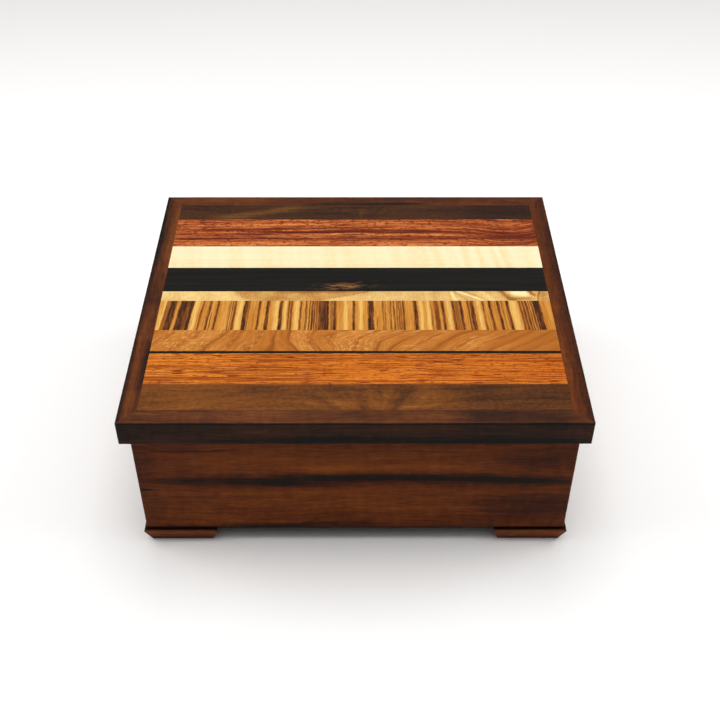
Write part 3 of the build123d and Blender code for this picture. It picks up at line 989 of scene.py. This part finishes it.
def cutScrew():  # one slotted screw, pointing down, its head face at the origin
    blank = bpy.data.objects.new("screwBlank", screwMesh())
    cutter = bpy.data.objects.new("slotCutter", slotCutter())
    for thing in (blank, cutter):
        scene.collection.objects.link(thing)
    cut = blank.modifiers.new("slot", "BOOLEAN")
    cut.object = cutter
    cut.operation = "DIFFERENCE"
    cut.solver = "EXACT"
    shown = blank.evaluated_get(bpy.context.evaluated_depsgraph_get())
    mesh = bpy.data.meshes.new_from_object(shown)
    mesh.name = "slottedScrew"
    for thing in (blank, cutter):
        bpy.data.objects.remove(thing)
    return mesh


def driveScrews(name, node, body, single, headUp):
    low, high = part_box(node)
    middle = (low + high) / 2
    face = high.z if headUp else low.z
    tree = Growth(name + "Rows")
    pattern = tree.ask("Screw", "Object", single)
    hingeGap = tree.ask("Hinge gap", "Float", slottedScrew["hingeGap"] * mm)
    screwGap = tree.ask("Screw gap", "Float", slottedScrew["screwGap"] * mm)
    seat = tree.ask("Seat", "Vector", (middle.x, middle.y, face))
    tip = tree.ask("Tip over", "Float", 0.0 if headUp else math.pi)
    seed = tree.ask("Slot seed", "Int", slottedScrew["slotSeed"])
    rows = []
    for gap in (hingeGap, screwGap):
        half = tree.add("ShaderNodeMath", {"operation": "MULTIPLY"}, {0: gap, 1: -0.5})
        start = tree.add("ShaderNodeCombineXYZ", None, {0: half})
        step = tree.add("ShaderNodeCombineXYZ", None, {0: gap})
        rows.append(tree.add("GeometryNodeMeshLine", None, {
            "Count": 2, "Start Location": start, "Offset": step}))
    pairs = tree.add("GeometryNodeInstanceOnPoints", None, {"Points": rows[0], "Instance": rows[1]})
    places = tree.add("GeometryNodeRealizeInstances", None, {0: pairs})
    placed = tree.add("GeometryNodeSetPosition", None, {0: places, "Offset": seat})
    shape = tree.shapeOf(pattern)
    turn = tree.add("FunctionNodeRandomValue", {"data_type": "FLOAT"}, {
        2: 0.0, 3: math.pi, "Seed": seed}, 1)  # half a turn, since a slot has two equal ends
    spin = tree.add("ShaderNodeCombineXYZ", None, {0: tip, 2: turn})
    screws = tree.add("GeometryNodeInstanceOnPoints", None, {
        "Points": placed, "Instance": shape, "Rotation": spin})
    piece = tree.grow(name, screws, brass)
    settle(piece, body, node)


def layTrayPads():  # one pad in each of the tray's four rooms
    low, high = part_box("tray_pads")
    clear = low.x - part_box("tray_left")[1].x
    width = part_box("tray_long_divider")[0].x - clear - low.x
    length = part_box("tray_cross_divider")[0].y - clear - low.y
    single = bpy.data.objects.new("trayPad", padMesh(
        "trayPad", (-width / 2, -length / 2, 0), (width / 2, length / 2, high.z - low.z)))
    tree = Growth("trayPadRows")
    pattern = tree.ask("Pad", "Object", single)
    gapX = tree.ask("Gap across", "Float", high.x - low.x - width)
    gapY = tree.ask("Gap along", "Float", high.y - low.y - length)
    seat = tree.ask("Seat", "Vector", ((low.x + high.x) / 2, (low.y + high.y) / 2, low.z))
    grid = tree.add("GeometryNodeMeshGrid", None, {
        "Size X": gapX, "Size Y": gapY, "Vertices X": 2, "Vertices Y": 2})
    placed = tree.add("GeometryNodeSetPosition", None, {0: grid, "Offset": seat})
    shape = tree.shapeOf(pattern)
    pads = tree.add("GeometryNodeInstanceOnPoints", None, {"Points": placed, "Instance": shape})
    piece = tree.grow("trayPads", pads, suede)
    bpy.data.objects.remove(single)
    piece.data.shade_smooth()
    settle(piece, "tray", "tray_pads")


layPads()
layTrayPads()
screwPattern = bpy.data.objects.new("slottedScrew", cutScrew())
driveScrews("caseLeafScrews", "case_leaf_screws", "case", screwPattern, True)
driveScrews("lidLeafScrews", "lid_leaf_screws", "lid", screwPattern, False)
bpy.data.objects.remove(screwPattern)
print("pieces: pads laid and screws driven")


# stage

studio = {
    "floorSize": 6.0,
    "paperTone": (0.985, 0.975, 0.962, 1.0),  # where the box stands
    # painted shade: the paper's tone far from the box, a grey falloff of light
    "paperFarShade": (0.65, 0.643, 0.634, 1.0),
    "paperShadeTurn": (100, 750),  # millimetres from the box's middle where painted shade greys the paper
    "paperShadeWide": 0.25,        # the painted shade greys it later to the sides
    "paperRough": 0.9,
    "lamps": [  # softboxes above and behind, and high on both sides
        {"name": "topSoftbox", "at": (0.0, 0.25, 1.2), "size": (0.6, 1.4), "power": 5.1},
        {"name": "leftSoftbox", "at": (-1.25, 0.16, 1.2), "size": (0.77, 1.14), "power": 12.0},
        {"name": "rightSoftbox", "at": (1.25, 0.16, 1.2), "size": (0.77, 1.14), "power": 12.0},
    ],
    "airLow": 0.08,           # the air's light at the horizon and overhead
    "airHigh": 1.33,
    "airTurn": (0.6, 1.0),    # heights between which it brightens
    "airSeen": (0.39, 0.62),  # what the camera sees of it, at the horizon and above
    "seenTurn": (-0.05, 0.5),
}


def makeFloor():
    half = studio["floorSize"] / 2
    mesh = bpy.data.meshes.new("floor")
    corners = [(-half, -half, 0), (half, -half, 0), (half, half, 0), (-half, half, 0)]
    mesh.from_pydata(corners, [], [(0, 1, 2, 3)])
    floor = bpy.data.objects.new("floor", mesh)
    scene.collection.objects.link(floor)
    paper = Shader("paperFloor")
    x, y = paper.place()[:2]
    away = (x * x * studio["paperShadeWide"] + y * y) ** 0.5
    # painted shade: the paper greys away from the box
    turn = paper.rise(away, *studio["paperShadeTurn"])
    colour = paper.blend(turn, studio["paperTone"], studio["paperFarShade"])
    mesh.materials.append(paper.finish({
        "Base Color": colour, "Roughness": studio["paperRough"], "Specular IOR Level": 0.0}))


def makeLights():
    for settings in studio["lamps"]:
        lamp = bpy.data.lights.new(settings["name"], "AREA")
        lamp.shape = "RECTANGLE"
        lamp.size, lamp.size_y = settings["size"]
        lamp.energy = settings["power"]
        softbox = bpy.data.objects.new(settings["name"], lamp)
        softbox.location = settings["at"]
        scene.collection.objects.link(softbox)
    scene.world = bpy.data.worlds.new("studioAir")
    scene.world.use_nodes = True
    air = Shader("", scene.world.node_tree, "Background")
    kinds = ("Camera", "Glossy", "Transmission")
    rays = [air.add("ShaderNodeLightPath", out="Is " + kind + " Ray") for kind in kinds]
    seen = air.rise(rays[0] + rays[1] + rays[2], 0.0, 1.0)
    toward = air.add("ShaderNodeTexCoord", out="Generated")
    up = air.add("ShaderNodeSeparateXYZ", None, {0: toward}, 2)
    light = studio["airLow"] + air.rise(up, *studio["airTurn"]) * (studio["airHigh"] - studio["airLow"])
    low, high = studio["airSeen"]
    glow = low + air.rise(up, *studio["seenTurn"]) * (high - low)
    air.finish({"Color": (1.0, 1.0, 1.0, 1.0), "Strength": light + seen * (glow - light)})


view = {
    "at": (1.08 * mm, -411.42 * mm, 402.33 * mm),
    "pitch": 41.322,  # degrees down
    "yaw": 0.163,
    "roll": 0.076,
    "lens": 53.955,
    "sensor": 36.0,
    "near": 0.01,  # metres
}


def makeCamera():
    data = bpy.data.cameras.new("camera")
    data.lens = view["lens"]
    data.sensor_width = view["sensor"]
    data.clip_start = view["near"]
    camera = bpy.data.objects.new("camera", data)
    scene.collection.objects.link(camera)
    turn = Matrix.Rotation(-math.radians(view["yaw"]), 4, "Z")
    tilt = Matrix.Rotation(math.radians(90 - view["pitch"]), 4, "X")
    roll = Matrix.Rotation(math.radians(view["roll"]), 4, "Z")
    camera.matrix_world = Matrix.Translation(view["at"]) @ turn @ tilt @ roll
    scene.camera = camera


makeFloor()
makeLights()
makeCamera()
scene.view_settings.view_transform = "Standard"
print("stage: floor, light and camera")
